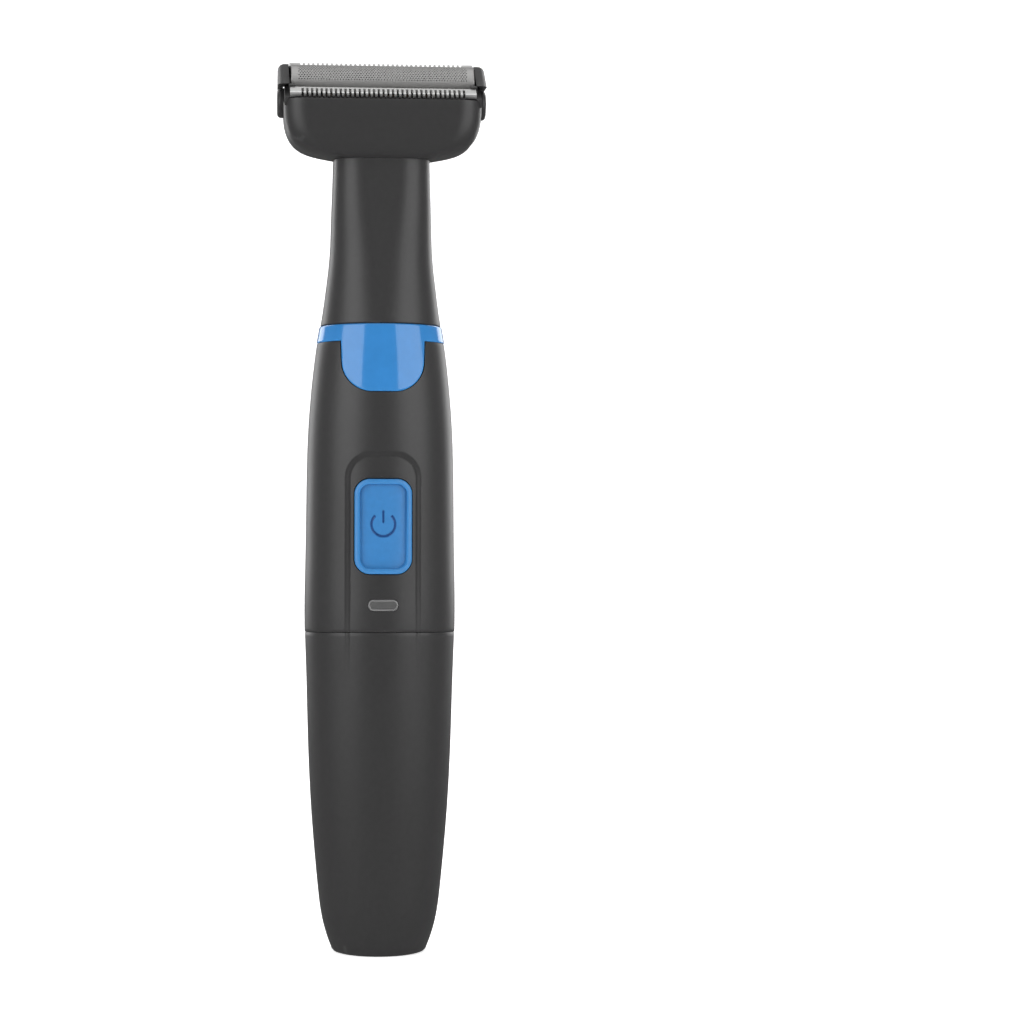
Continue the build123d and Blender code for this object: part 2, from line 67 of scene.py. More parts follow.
camera_data = bpy.data.cameras.new("studio_camera")
camera_data.lens = CAMERA_LENS
camera_data.sensor_width = 36
camera = bpy.data.objects.new("studio_camera", camera_data)
camera.location = [c * MM for c in CAMERA_PLACE]
aimed = Euler((radians(90 - CAMERA_DOWN), 0, radians(-CAMERA_TURN))).to_matrix()
camera.rotation_euler = (aimed @ Matrix.Rotation(radians(CAMERA_ROLL), 3, "Z")).to_euler()
bpy.context.scene.collection.objects.link(camera)
bpy.context.scene.camera = camera
bpy.context.scene.view_settings.view_transform = "Standard"
print("camera", CAMERA_PLACE, "mm, lens", CAMERA_LENS)

# %% [markdown]
# ## Grids, meshes and outlines
# Every new casing is a grid of points. The points are worked out as whole arrays, and
# neighbouring points make the quads. Three small tools serve all of them: one that numbers
# the quads, one that puts a grid into an object, and one that pulls grid points on to an
# outline, so that a pocket's edge is clean although the grid runs straight past it.

# %% Quads of a grid
def grid_quads(rows, cols, wrap_rows=False, wrap_cols=False):
    """Quads between neighbouring points, row by row; a wrapped side joins its end to its start."""
    index = np.arange(rows * cols).reshape(rows, cols)
    if wrap_cols:
        index = np.concatenate([index, index[:, :1]], axis=1)
    if wrap_rows:
        index = np.concatenate([index, index[:1]], axis=0)
    corners = (index[:-1, :-1], index[:-1, 1:], index[1:, 1:], index[1:, :-1])
    return np.stack(corners, axis=-1).reshape(-1, 4)


# %% Put a grid into an object
def make_piece(name, points, faces, body, slot, stands_for=(), crease=32, poles=False):
    """One finished mesh object from points in millimetres, smooth up to the crease angle."""
    mesh = bpy.data.meshes.new(name)
    flat = np.asarray(points, float).reshape(-1, 3) * MM
    mesh.from_pydata(flat.tolist(), [], [list(map(int, f)) for f in faces])
    if poles:
        merge_points(mesh)
    mesh.polygons.foreach_set("use_smooth", np.ones(len(mesh.polygons), bool))
    mesh.set_sharp_from_angle(angle=radians(crease))
    piece = bpy.data.objects.new(name, mesh)
    bpy.context.scene.collection.objects.link(piece)
    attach(piece, body)
    if stands_for:
        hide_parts(*stands_for)
    mesh.materials.append(finishes[slot])
    print(f"{name}: {len(mesh.polygons)} faces on {body}")
    return piece


def merge_points(mesh, distance=1e-7):
    """Close poles and seams by joining points that share a place."""
    work = bmesh.new()
    work.from_mesh(mesh)
    bmesh.ops.remove_doubles(work, verts=work.verts, dist=distance)
    work.to_mesh(mesh)
    work.free()


def drop_unused(points, faces):
    """Only the points that a face uses, and the faces with their new numbers."""
    used, lengths = np.concatenate(faces), [len(f) for f in faces]
    seen, renumbered = np.unique(used, return_inverse=True)
    return points[seen], np.split(renumbered, np.cumsum(lengths)[:-1])


# %% Distances to outlines
def from_rounded_box(x, z, half_x, half_z, radius):
    """Signed distance to a rounded rectangle about the origin: below 0 inside, above 0 outside."""
    qx = np.abs(x) - (half_x - radius)
    qz = np.abs(z) - (half_z - radius)
    outside = np.hypot(np.maximum(qx, 0), np.maximum(qz, 0))
    return outside + np.minimum(np.maximum(qx, qz), 0) - radius


def pull_to_outline(x, z, distance_to, level=0.0):
    """Move each point that is less than half a grid step from the outline straight on to it."""
    step = 1e-4
    here = distance_to(x, z) - level
    slope_x = (distance_to(x + step, z) - level - here) / step
    slope_z = (distance_to(x, z + step) - level - here) / step
    reach = 0.0
    for axis in (0, 1):
        reach = reach + np.abs(slope_x * np.gradient(x, axis=axis) + slope_z * np.gradient(z, axis=axis))
    near = np.abs(here) < 0.5 * reach
    length = np.maximum(slope_x ** 2 + slope_z ** 2, 1e-9)
    move = np.where(near, here / length, 0)
    return x - move * slope_x, z - move * slope_z


def smooth_step(t):
    """0 below 0, 1 above 1, and an S curve between."""
    t = np.clip(t, 0, 1)
    return t * t * (3 - 2 * t)


def natural_curve(places, values):
    """A function through the given points with a steady curvature (a natural cubic spline)."""
    x = np.asarray(places, float)
    y = np.asarray(values, float)
    h = np.diff(x)
    n = len(x)
    system = np.eye(n)
    right = np.zeros(n)
    middle = np.arange(1, n - 1)
    system[middle, middle - 1] = h[:-1]
    system[middle, middle] = 2 * (h[:-1] + h[1:])
    system[middle, middle + 1] = h[1:]
    right[1:-1] = 6 * np.diff(np.diff(y) / h)
    bend = np.linalg.solve(system, right)

    def curve(t):
        t = np.clip(t, x[0], x[-1])
        i = np.clip(np.searchsorted(x, t) - 1, 0, n - 2)
        left, past = x[i + 1] - t, t - x[i]
        return (bend[i] * left ** 3 + bend[i + 1] * past ** 3) / (6 * h[i]) + (
            y[i] / h[i] - bend[i] * h[i] / 6) * left + (y[i + 1] / h[i] - bend[i + 1] * h[i] / 6) * past

    return curve


def spaced(*runs):
    """Places along a line: each run is (start, end, step), and a run's end is the next run's start."""
    parts = [np.linspace(a, b, max(2, round(abs(b - a) / step) + 1))[:-1] for a, b, step in runs]
    return np.concatenate([*parts, [runs[-1][1]]])


# %% [markdown]
# ## Finishes
# The casings are injection moulded in a black resin. The handle has a fine matt texture, the
# head a satin one, and the ring is polished blue. Light gathers on a moulded part in a few
# ways that a flat colour can't show: a fine grain that breaks up highlights, slightly
# glossier places where hands touch it, and paler edges where the texture is worn. Each of
# these is a shader node group, built once and used by every finish with its own values.

# %% Node tools
def add_node(tree, kind, inputs=(), **settings):
    """A node with its settings and the values of its inputs."""
    made = tree.nodes.new(kind)
    for key, value in settings.items():
        setattr(made, key, value)
    for key, value in dict(inputs).items():
        made.inputs[key].default_value = value
    return made


def new_effect(name, inputs, outputs):
    """An empty shader node group with named inputs and outputs."""
    tree = bpy.data.node_groups.new(name, "ShaderNodeTree")
    for label, value in inputs.items():
        socket = tree.interface.new_socket(label, in_out="INPUT", socket_type="NodeSocketFloat")
        socket.default_value = value
    for label in outputs:
        tree.interface.new_socket(label, in_out="OUTPUT", socket_type="NodeSocketFloat")
    return tree, tree.nodes.new("NodeGroupInput"), tree.nodes.new("NodeGroupOutput")


def scaled_noise(tree, scale, detail, stretch=(1, 1, 1)):
    """A noise on Object coordinates whose scale is a number or comes from a socket."""
    place = add_node(tree, "ShaderNodeTexCoord")
    turn = add_node(tree, "ShaderNodeMapping", {"Scale": stretch})
    noise = add_node(tree, "ShaderNodeTexNoise", {"Detail": detail, "Roughness": 0.55})
    tree.links.new(place.outputs["Object"], turn.inputs["Vector"])
    tree.links.new(turn.outputs["Vector"], noise.inputs["Vector"])
    if isinstance(scale, float):
        noise.inputs["Scale"].default_value = scale
    else:
        tree.links.new(scale, noise.inputs["Scale"])
    return noise.outputs["Fac"]


def remap(tree, value, low, high):
    """Carry a 0 to 1 value to a new range, both ends given as numbers or sockets."""
    spread = add_node(tree, "ShaderNodeMapRange")
    tree.links.new(value, spread.inputs["Value"])
    for label, end in (("To Min", low), ("To Max", high)):
        if isinstance(end, (int, float)):
            spread.inputs[label].default_value = end
        else:
            tree.links.new(end, spread.inputs[label])
    return spread.outputs["Result"]


def multiply(tree, a, b):
    """The product of two sockets, or of a socket and a number."""
    product = add_node(tree, "ShaderNodeMath", operation="MULTIPLY")
    tree.links.new(a, product.inputs[0])
    if isinstance(b, (int, float)):
        product.inputs[1].default_value = b
    else:
        tree.links.new(b, product.inputs[1])
    return product.outputs[0]


# %% Grain: the mould's own texture, as a height and as a slight change of tone
grain, grain_in, grain_out = new_effect("mould_grain", {"Scale": 5000.0}, ("Height", "Tone"))
fine = scaled_noise(grain, grain_in.outputs["Scale"], 2.0)
broad = scaled_noise(grain, multiply(grain, grain_in.outputs["Scale"], 0.22), 3.0)
both = add_node(grain, "ShaderNodeMath", operation="ADD")
grain.links.new(fine, both.inputs[0])
grain.links.new(broad, both.inputs[1])
grain.links.new(multiply(grain, both.outputs[0], 0.5), grain_out.inputs["Height"])
grain.links.new(remap(grain, broad, 0.9, 1.12), grain_out.inputs["Tone"])

# %% Handling: broad patches where fingers have made the surface slightly glossier
handling, handling_in, handling_out = new_effect(
    "handling_marks", {"Scale": 45.0, "Low": 0.4, "High": 0.5}, ("Roughness",))
patches = scaled_noise(handling, handling_in.outputs["Scale"], 5.0)
handling.links.new(remap(handling, patches, handling_in.outputs["Low"], handling_in.outputs["High"]),
                   handling_out.inputs["Roughness"])

# %% Wear: a mask of the sharp outer edges, broken up so that it isn't even
wear, wear_in, wear_out = new_effect("edge_wear", {"Amount": 0.5, "Start": 0.53}, ("Mask",))
shape = add_node(wear, "ShaderNodeNewGeometry")
edge = add_node(wear, "ShaderNodeMapRange", {"From Max": 0.62})
wear.links.new(shape.outputs["Pointiness"], edge.inputs["Value"])
wear.links.new(wear_in.outputs["Start"], edge.inputs["From Min"])
broken = remap(wear, scaled_noise(wear, 900.0, 2.0), 0.3, 1.0)
uneven = multiply(wear, edge.outputs["Result"], broken)
wear.links.new(multiply(wear, uneven, wear_in.outputs["Amount"]), wear_out.inputs["Mask"])

# %% Grinding lines: fine scratches along the tool's width, left by the grinding of steel
ground, ground_in, ground_out = new_effect(
    "grinding_lines", {"Scale": 900.0, "Low": 0.25, "High": 0.45}, ("Height", "Roughness", "Tone"))
scratches = scaled_noise(ground, ground_in.outputs["Scale"], 4.0, stretch=(0.06, 4.0, 4.0))
ground.links.new(scratches, ground_out.inputs["Height"])
ground.links.new(remap(ground, scratches, ground_in.outputs["Low"], ground_in.outputs["High"]),
                 ground_out.inputs["Roughness"])
ground.links.new(remap(ground, scratches, 0.82, 1.08), ground_out.inputs["Tone"])
print("effects:", [g.name for g in bpy.data.node_groups])

# %% [markdown]
# One recipe makes every opaque finish: a Principled shader whose colour is toned by the
# grain, whose roughness comes from the handling marks or the grinding lines, and whose
# normal comes from a bump of the same height. Polished and clear parts add a coat or
# transmission on the shader's own sockets.

# %% Recipe for a finish
def use_effect(tree, effect, values):
    placed = add_node(tree, "ShaderNodeGroup", node_tree=effect)
    for key, value in values.items():
        placed.inputs[key].default_value = value
    return placed


def make_finish(name, colour, rough, grain_scale=5000.0, bump=0.1, metal=0.0, worn=0.0,
                worn_colour=(0.2, 0.2, 0.2), ground_scale=None, mark_scale=45.0, sign=None, **sockets):
    """A material: colour, low and high roughness, grain or grinding lines, and worn edges."""
    material = bpy.data.materials.new(name)
    material.use_nodes = True
    tree = material.node_tree
    shader = tree.nodes["Principled BSDF"]
    shader.inputs["Metallic"].default_value = metal
    for key, value in sockets.items():
        shader.inputs[key.replace("_", " ")].default_value = value
    if ground_scale:
        effect = use_effect(tree, ground, {"Scale": ground_scale, "Low": rough[0], "High": rough[1]})
        roughness, tone, height = (effect.outputs[k] for k in ("Roughness", "Tone", "Height"))
    else:
        marks = use_effect(tree, handling, {"Scale": mark_scale, "Low": rough[0], "High": rough[1]})
        effect = use_effect(tree, grain, {"Scale": grain_scale})
        roughness, tone, height = (marks.outputs["Roughness"], effect.outputs["Tone"],
                                   effect.outputs["Height"])
    tree.links.new(roughness, shader.inputs["Roughness"])
    toned = add_node(tree, "ShaderNodeMix", data_type="RGBA", blend_type="MULTIPLY")
    toned.inputs["Factor"].default_value = 1.0
    toned.inputs["A"].default_value = (*colour, 1)
    tree.links.new(tone, toned.inputs["B"])
    result = toned.outputs["Result"]
    # A second colour by a point attribute: the sign's paint and painted shade on the button, a painted
    # highlight on the indicator's rim.
    if sign:
        result = mix_colour(tree, result, sign, add_node(
            tree, "ShaderNodeAttribute", attribute_name="sign").outputs["Fac"])
    if worn:
        mask = use_effect(tree, wear, {"Amount": worn}).outputs["Mask"]
        result = mix_colour(tree, result, worn_colour, mask)
    tree.links.new(result, shader.inputs["Base Color"])
    bumped = add_node(tree, "ShaderNodeBump", {"Strength": bump, "Distance": 0.00005})
    tree.links.new(height, bumped.inputs["Height"])
    tree.links.new(bumped.outputs["Normal"], shader.inputs["Normal"])
    return material


def mix_colour(tree, first, second, mask):
    """The first colour, going over to the second one where the mask is 1."""
    mixed = add_node(tree, "ShaderNodeMix", data_type="RGBA")
    tree.links.new(mask, mixed.inputs["Factor"])
    tree.links.new(first, mixed.inputs["A"])
    mixed.inputs["B"].default_value = (*second, 1)
    return mixed.outputs["Result"]


# %% Every finish, by its slot in the record
RECIPES = {
    "soft_touch_black": dict(colour=(0.029, 0.0285, 0.029), rough=(0.33, 0.43), grain_scale=4200,
                             bump=0.22, worn=0.35, worn_colour=(0.09, 0.09, 0.09)),
    "head_black": dict(colour=(0.026, 0.0255, 0.026), rough=(0.36, 0.46), grain_scale=5200,
                       bump=0.12, worn=0.4, worn_colour=(0.08, 0.08, 0.08)),
    "gloss_blue": dict(colour=(0.032, 0.2, 0.5), rough=(0.1, 0.16), grain_scale=1500, bump=0.012,
                       Coat_Weight=0.3, Coat_Roughness=0.05),
    # Its second colour is the sign's dark paint, also mixed in a little as painted shade.
    "button_blue": dict(colour=(0.035, 0.2, 0.48), rough=(0.3, 0.38), grain_scale=3600, bump=0.06,
                        sign=(0.006, 0.06, 0.22)),
    "blade_steel": dict(colour=(0.66, 0.66, 0.65), rough=(0.25, 0.4), metal=0.85, bump=0.08,
                        ground_scale=1400, worn=0.5, worn_colour=(0.85, 0.85, 0.85)),
    "foil_steel": dict(colour=(0.4, 0.395, 0.39), rough=(0.4, 0.5), metal=0.5, bump=0.05,
                       ground_scale=2600),
    # Its second colour is a painted highlight on the indicator's rim.
    "clear_lens": dict(colour=(0.12, 0.12, 0.12), rough=(0.12, 0.2), grain_scale=2500, bump=0.05,
                       sign=(0.24, 0.24, 0.24), Transmission_Weight=0.3, IOR=1.49),
    "frame_plastic": dict(colour=(0.16, 0.165, 0.17), rough=(0.4, 0.5), grain_scale=3000, worn=0.2),
    "seal_rubber": dict(colour=(0.35, 0.05, 0.03), rough=(0.5, 0.6), grain_scale=3800),
    "contact_metal": dict(colour=(0.78, 0.62, 0.3), rough=(0.2, 0.32), metal=1.0,
                          ground_scale=1800),
    "cell_wrap": dict(colour=(0.03, 0.16, 0.07), rough=(0.25, 0.32), grain_scale=1200, bump=0.03,
                      Coat_Weight=0.4),
    "board_green": dict(colour=(0.012, 0.1, 0.035), rough=(0.28, 0.38), grain_scale=1600),
    "component_black": dict(colour=(0.018, 0.018, 0.02), rough=(0.4, 0.5), grain_scale=4200),
    "motor_steel": dict(colour=(0.56, 0.57, 0.58), rough=(0.28, 0.4), metal=1.0, ground_scale=1000),
    "motor_nylon": dict(colour=(0.66, 0.64, 0.58), rough=(0.4, 0.5), grain_scale=2600,
                        Subsurface_Weight=0.1),
    "copper_core": dict(colour=(0.72, 0.33, 0.16), rough=(0.25, 0.4), metal=1.0, ground_scale=1600),
    "magnet_grey": dict(colour=(0.07, 0.07, 0.075), rough=(0.5, 0.62), grain_scale=2200, bump=0.25),
    "screw_steel": dict(colour=(0.6, 0.6, 0.6), rough=(0.2, 0.34), metal=1.0, ground_scale=1500),
    "bearing_bronze": dict(colour=(0.55, 0.36, 0.16), rough=(0.35, 0.48), metal=1.0,
                           ground_scale=1300),
    "drive_acetal": dict(colour=(0.72, 0.72, 0.69), rough=(0.32, 0.42), grain_scale=2400,
                         Subsurface_Weight=0.15),
}
finishes = {name: make_finish(name, **recipe) for name, recipe in RECIPES.items()}
for part in frame["record"]["subparts"]:
    mesh = nodes[part["node"]].data
    mesh.materials.clear()
    mesh.materials.append(finishes[part["material_slot"]])
print(len(finishes), "finishes")

# %% [markdown]
# ## The handle's skin
# The handle is a solid of revolution that swells to 30 mm in the hand. The battery cap is
# its lower third and the upper shell the rest, up to the blue ring. A turned profile alone
# can't hold the thumb recess and the pockets, so each casing is a height field: a grid of
# angle and height whose radius is the handle's own, less the depth of the features there.
# Columns stand closer at the front, where the features are, and rows stand closer at their
# upper and lower edges. Points beside an outline are pulled on to it.

# %% The handle's profile and the front features
HANDLE_RADII = [9.3, 10.7, 12.35, 13.6, 14.4, 14.72, 15.0, 14.85, 14.65, 14.3, 13.5, 12.6, 11.75, 11.0]
HANDLE_HEIGHTS = [0, 3.8, 13.4, 27.8, 45, 56.5, 66.2, 78, 92.6, 104.6, 114.2, 121.3, 126.2, 131]
WALL = 1.7
SEAM_Z, SEAM_TILT = 63.8, radians(2.7)
RING_LOW_Z, RING_HIGH_Z, RING_TILT = 121.2, 124.5, radians(1.9)
LINE_GAP = 0.08          # half the open line at the ring
SEAM_GAP = 0.04          # half the open line at the seam, where the cap pulls off
handle_radius = natural_curve(HANDLE_HEIGHTS, HANDLE_RADII)

RECESS_HALF_W, RECESS_TOP_Z, RECESS_CORNER = 6.55, 98.9, 4.3
RECESS_SLOPE_W, RECESS_DEPTH = 0.95, 0.45
RECESS_FADE = (50.0, 78.0)
BUTTON_Z, BUTTON_HALF_W, BUTTON_HALF_H, BUTTON_CORNER = 85.2, 5.65, 9.3, 3.0
BUTTON_GAP = 0.14
LENS_Z, LENS_HALF_W, LENS_HALF_H = 69.8, 3.05, 1.12
TAB_LOW_Z, TAB_CORNER = 111.6, 5.6
TAB_GAP = 0.12


def to_recess(x, z):
    """Distance to the floor of the arch-topped recess, which runs down past the seam."""
    half_h = 50
    distance = from_rounded_box(x, z - (RECESS_TOP_Z - half_h), RECESS_HALF_W, half_h, RECESS_CORNER)
    return np.where(z < RECESS_FADE[0], np.maximum(distance, 9.0), distance)


def to_button(x, z):
    return from_rounded_box(x, z - BUTTON_Z, BUTTON_HALF_W, BUTTON_HALF_H, BUTTON_CORNER)


def to_well(x, z):
    """Distance to the button's outline on the recess floor, which lies nearer the axis."""
    return to_button(x * (1 - RECESS_DEPTH / handle_radius(z)), z)


def to_lens(x, z):
    return from_rounded_box(x, z - LENS_Z, LENS_HALF_W, LENS_HALF_H, LENS_HALF_H - 0.01)


def to_tab(x, z):
    """Distance to the shield below the ring; its sides spread slightly upwards."""
    spread = 7.9 + 0.0388 * (z - TAB_LOW_Z)
    half_h = 20
    return from_rounded_box(x * 7.9 / spread, z - (TAB_LOW_Z + half_h), 7.9, half_h, TAB_CORNER)


front_half = spaced((0, 7, 1.0), (7, 13, 0.45), (13, 20.5, 1.0), (20.5, 44, 0.48), (44, 60, 2),
                    (60, 180, 4))
angles = np.radians(np.concatenate([-front_half[::-1], front_half[1:-1]]))
print(len(angles), "columns round the handle")


def recess_depth(x, z, y):
    """How deep the recess lies: full on its floor, none past its sloped edge, fading out low down."""
    fade = smooth_step((z - RECESS_FADE[0]) / (RECESS_FADE[1] - RECESS_FADE[0]))
    slope = np.clip(to_recess(x, z) / RECESS_SLOPE_W, 0, 1)
    eased = slope + 0.06 * np.sin(2 * np.pi * slope)
    return np.where(y < 0, RECESS_DEPTH * fade * (1 - eased), 0.0)


def skin_points(angle, z, depth=0.0):
    """Points on the handle at an angle from the front and a height, at a depth below its skin."""
    r = handle_radius(z) - depth
    return np.stack(np.broadcast_arrays(r * np.sin(angle), -r * np.cos(angle), z), axis=-1)


def on_skin(x, z):
    """Angle of the skin's point at a distance x from the middle, seen from the front."""
    return np.arcsin(np.clip(x / handle_radius(z), -0.999, 0.999))


def snap_front(angle, z, outlines):
    """Pull the front's grid points on to each outline, given as (distance function, level)."""
    front = np.abs(angle) < radians(60)
    x = handle_radius(z) * np.sin(angle)
    new_x, new_z = x, z
    for distance_to, level in outlines:
        new_x, new_z = pull_to_outline(new_x, new_z, distance_to, level)
    return np.where(front, on_skin(new_x, new_z), angle), np.where(front, new_z, z)


# %% [markdown]
# ## Battery cap
# A deep cup that is pulled off to change the cell. It is moulded with a slightly rounded
# foot and a plain round mouth, and the fading end of the thumb recess runs down over it. Its
# grid runs from the middle of the foot, up the outside, over the lip and down the inside to
# the middle of the floor, so the cup is one closed surface with a real wall.

# %% Battery cap
CAP_OFFSET = 0.06        # the cap's skin lies this much inside the upper shell's
CAP_FLOOR_Z = 2.0
MOUTH_R = 13.05
MOUTH_LOW_Z = 53.0
LIP_ROUND = 0.08


def lip_rows(angle, base_z, tilt, offset, round_over, up=1):
    """Three rows that roll a casing's edge inwards at a tilted line: up is 1 for an upper edge."""
    r = handle_radius(base_z) - offset
    line_z = base_z + r * np.cos(angle) * tan(tilt)
    rows = []
    for turn in np.radians((0, 45, 90)):
        z = line_z - up * round_over * (1 - np.sin(turn))
        rows.append(skin_points(angle, z, offset + round_over * (1 - np.cos(turn))))
    return np.array(rows)


def battery_cap():
    """Radius over angle and height: foot, outer skin less the recess, lip, mouth and inside."""
    a = angles[None, :]
    t = spaced((0, 0.04, 0.006), (0.04, 0.78, 0.02), (0.78, 1, 0.012))[:, None]
    r_top = handle_radius(SEAM_Z) - CAP_OFFSET
    top = SEAM_Z - SEAM_GAP + r_top * np.cos(a) * tan(SEAM_TILT) - LIP_ROUND
    z = 0.5 + (top - 0.5) * t
    a, z = snap_front(np.broadcast_to(a, z.shape), z, [(to_recess, 0.0), (to_recess, RECESS_SLOPE_W)])
    x, y = handle_radius(z) * np.sin(a), -handle_radius(z) * np.cos(a)
    outside = skin_points(a, z, CAP_OFFSET + recess_depth(x, z, y))
    foot_r = handle_radius(0.0) - CAP_OFFSET
    foot = ring_rows([(0.0, 0.0), (foot_r - 2.2, 0.0), (foot_r - 0.55, 0.0), (foot_r - 0.12, 0.14)])
    last = outside[-1]
    depth = recess_depth(last[:, 0], last[:, 2], last[:, 1])[None, :]
    lip = lip_rows(angles[None, :], SEAM_Z - SEAM_GAP, SEAM_TILT, CAP_OFFSET, LIP_ROUND)[1:, 0]
    shrink = 1 - depth[0, :, None] / handle_radius(SEAM_Z)
    lip[..., :2] *= shrink
    mouth_top = lip[-1].copy()
    mouth_top[:, :2] = MOUTH_R * np.stack([np.sin(angles), -np.cos(angles)], axis=-1)
    inner_z = np.linspace(MOUTH_LOW_Z - 0.3, CAP_FLOOR_Z + 0.8, 10)
    inner = [(MOUTH_R, MOUTH_LOW_Z)] + [(handle_radius(v) - WALL, v) for v in inner_z]
    floor_r = handle_radius(CAP_FLOOR_Z) - WALL
    inside = ring_rows(inner + [(r, CAP_FLOOR_Z) for r in (floor_r - 0.6, floor_r - 3, 0.0)])
    return np.concatenate([foot, outside, lip, mouth_top[None], inside])


def ring_rows(radius_and_height):
    """Level circles of points, one row for each radius and height."""
    r, z = np.array(radius_and_height, float).T[:, :, None]
    flat = np.broadcast_to(angles[None, :], (len(r), len(angles)))
    return np.stack([r * np.sin(flat), -r * np.cos(flat), np.broadcast_to(z, flat.shape)], axis=-1)


cap_points = battery_cap()
make_piece("battery_cap_shell", cap_points, grid_quads(*cap_points.shape[:2], wrap_cols=True),
           "cap", "soft_touch_black", ["battery_cap"], poles=True)

# %% [markdown]
# ## Upper shell
# The sleeve that the hand holds. Four features are sunk in its front: the thumb recess with
# its sloped edge, the well of the power button, the small pocket of the indicator, and the
# pocket of the blue tab. Steep walls are one grid step wide, and the step's upper edge lies
# exactly on the outline. They go straight back, so that the button can be pressed in.
# Behind the well the wall is thicker, as on a moulded shell.

# %% Upper shell
WELL_DEPTH = 2.4
LENS_POCKET_DEPTH = 1.2
TAB_POCKET_DEPTH = 1.05
THICK_WALL = 3.3
LENS_GAP = 0.06
SUNK_FROM = -0.02        # a point this far inside an outline goes down to the pocket's floor


def upper_shell():
    """Radius over angle and height: lips, the skin less every pocket, and the inside wall."""
    a = angles[None, :]
    rows = spaced((64.75, 68.2, 0.6), (68.2, 71.4, 0.13), (71.4, 75.3, 0.8), (75.3, 79, 0.13),
                  (79, 91.4, 0.9), (91.4, 101, 0.14), (101, 111, 1.0), (111, 117.6, 0.14),
                  (117.6, 121.38, 0.5))
    t = ((rows - rows[0]) / (rows[-1] - rows[0]))[:, None]
    low = SEAM_Z + SEAM_GAP + handle_radius(SEAM_Z) * np.cos(a) * tan(SEAM_TILT) + LIP_ROUND
    high = RING_LOW_Z - LINE_GAP + handle_radius(RING_LOW_Z) * np.cos(a) * tan(RING_TILT) - LIP_ROUND
    z = low + (high - low) * t
    pockets = [(to_well, BUTTON_GAP, WELL_DEPTH), (to_lens, LENS_GAP, LENS_POCKET_DEPTH),
               (to_tab, TAB_GAP, TAB_POCKET_DEPTH)]
    outlines = [(to_recess, RECESS_SLOPE_W), (to_recess, 0.0)] + [pocket[:2] for pocket in pockets]
    a, z = snap_front(np.broadcast_to(a, z.shape), z, outlines)
    x, y = handle_radius(z) * np.sin(a), -handle_radius(z) * np.cos(a)
    depth = recess_depth(x, z, y)
    sunk = depth
    for distance_to, gap, deep in pockets:
        inside = (distance_to(x, z) - gap < SUNK_FROM) & (y < 0)
        sunk = np.where(inside, np.maximum(sunk, deep), sunk)
    outside = skin_points(a, z, depth)
    outside[..., 1] += sunk - depth
    lower = lip_rows(angles[None, :], SEAM_Z + SEAM_GAP, SEAM_TILT, 0.0, LIP_ROUND, up=-1)[::-1][:-1, 0]
    lower[..., :2] *= 1 - (depth[0] / handle_radius(SEAM_Z))[None, :, None]
    upper = lip_rows(angles[None, :], RING_LOW_Z - LINE_GAP, RING_TILT, 0.0, LIP_ROUND)[1:, 0]
    upper[..., :2] *= 1 - (depth[-1] / handle_radius(RING_LOW_Z))[None, :, None]
    height = np.linspace(0, 1, 22)[::-1, None]
    wall_z = lower[0, :, 2] + (upper[-1, :, 2] - lower[0, :, 2]) * height
    behind_well = smooth_step(1.5 - to_button(handle_radius(wall_z) * np.sin(angles), wall_z) / 2.0)
    behind_well = np.where(np.cos(angles) > 0, behind_well, 0)
    wall = skin_points(angles[None, :], wall_z, WALL + (THICK_WALL - WALL) * behind_well)
    return np.concatenate([lower, outside, upper, wall])


shell_points = upper_shell()
make_piece("upper_shell_sleeve", shell_points,
           grid_quads(*shell_points.shape[:2], wrap_rows=True, wrap_cols=True),
           "handle", "soft_touch_black", ["upper_shell"], crease=38)

# %% [markdown]
# ## Blue ring and tab
# One polished moulding: a band between neck and handle, with a shield-shaped tab that hangs
# down in front. Its outline is the union of the band and the shield, so no line shows
# between them. The grid is laid over both, only the quads inside the outline are kept, and
# the edge is rolled over to catch a thin line of light. The same outline is repeated further
# in, and a wall along the edge joins the two.

# %% Ring and tab
RING_PROUD = 0.1
ROLL = 0.24
RING_DEPTH = 0.95


def to_ring(angle, z):
    """Distance to the ring's outline on the skin, as the union of the tilted band and the shield."""
    r = handle_radius(z)
    lean = r * np.cos(angle) * tan(RING_TILT)
    band = np.maximum(RING_LOW_Z + lean - z, z - RING_HIGH_Z - lean)
    shield = np.maximum(to_tab(r * np.sin(angle), z), z - RING_HIGH_Z - lean)
    return np.minimum(band, np.where(np.cos(angle) > 0.2, shield, 99.0))


def keep_inside(faces, inside):
    """Quads with all corners inside; of quads with one corner outside, the triangle that is left."""
    flags = inside.ravel()[faces]
    whole = faces[flags.all(axis=1)]
    partly = faces[flags.sum(axis=1) == 3]
    kept = flags[flags.sum(axis=1) == 3]
    order = (np.argmin(kept, axis=1)[:, None] + np.arange(1, 4)) % 4
    return list(whole) + list(np.take_along_axis(partly, order, axis=1))


def closed_shell(outer, inner, faces):
    """Outer faces, the same faces turned round on the inner points, and a wall along the open edge."""
    count = len(outer)
    loops = [(f[k], f[(k + 1) % len(f)]) for f in faces for k in range(len(f))]
    start, end = np.array(loops).T
    codes, back = start * count + end, end * count + start
    rim = ~np.isin(codes, back)
    a, b = start[rim], end[rim]
    walls = np.stack([b, a, a + count, b + count], axis=-1)
    everything = faces + [f[::-1] + count for f in faces] + list(walls)
    return drop_unused(np.concatenate([outer, inner]), everything)


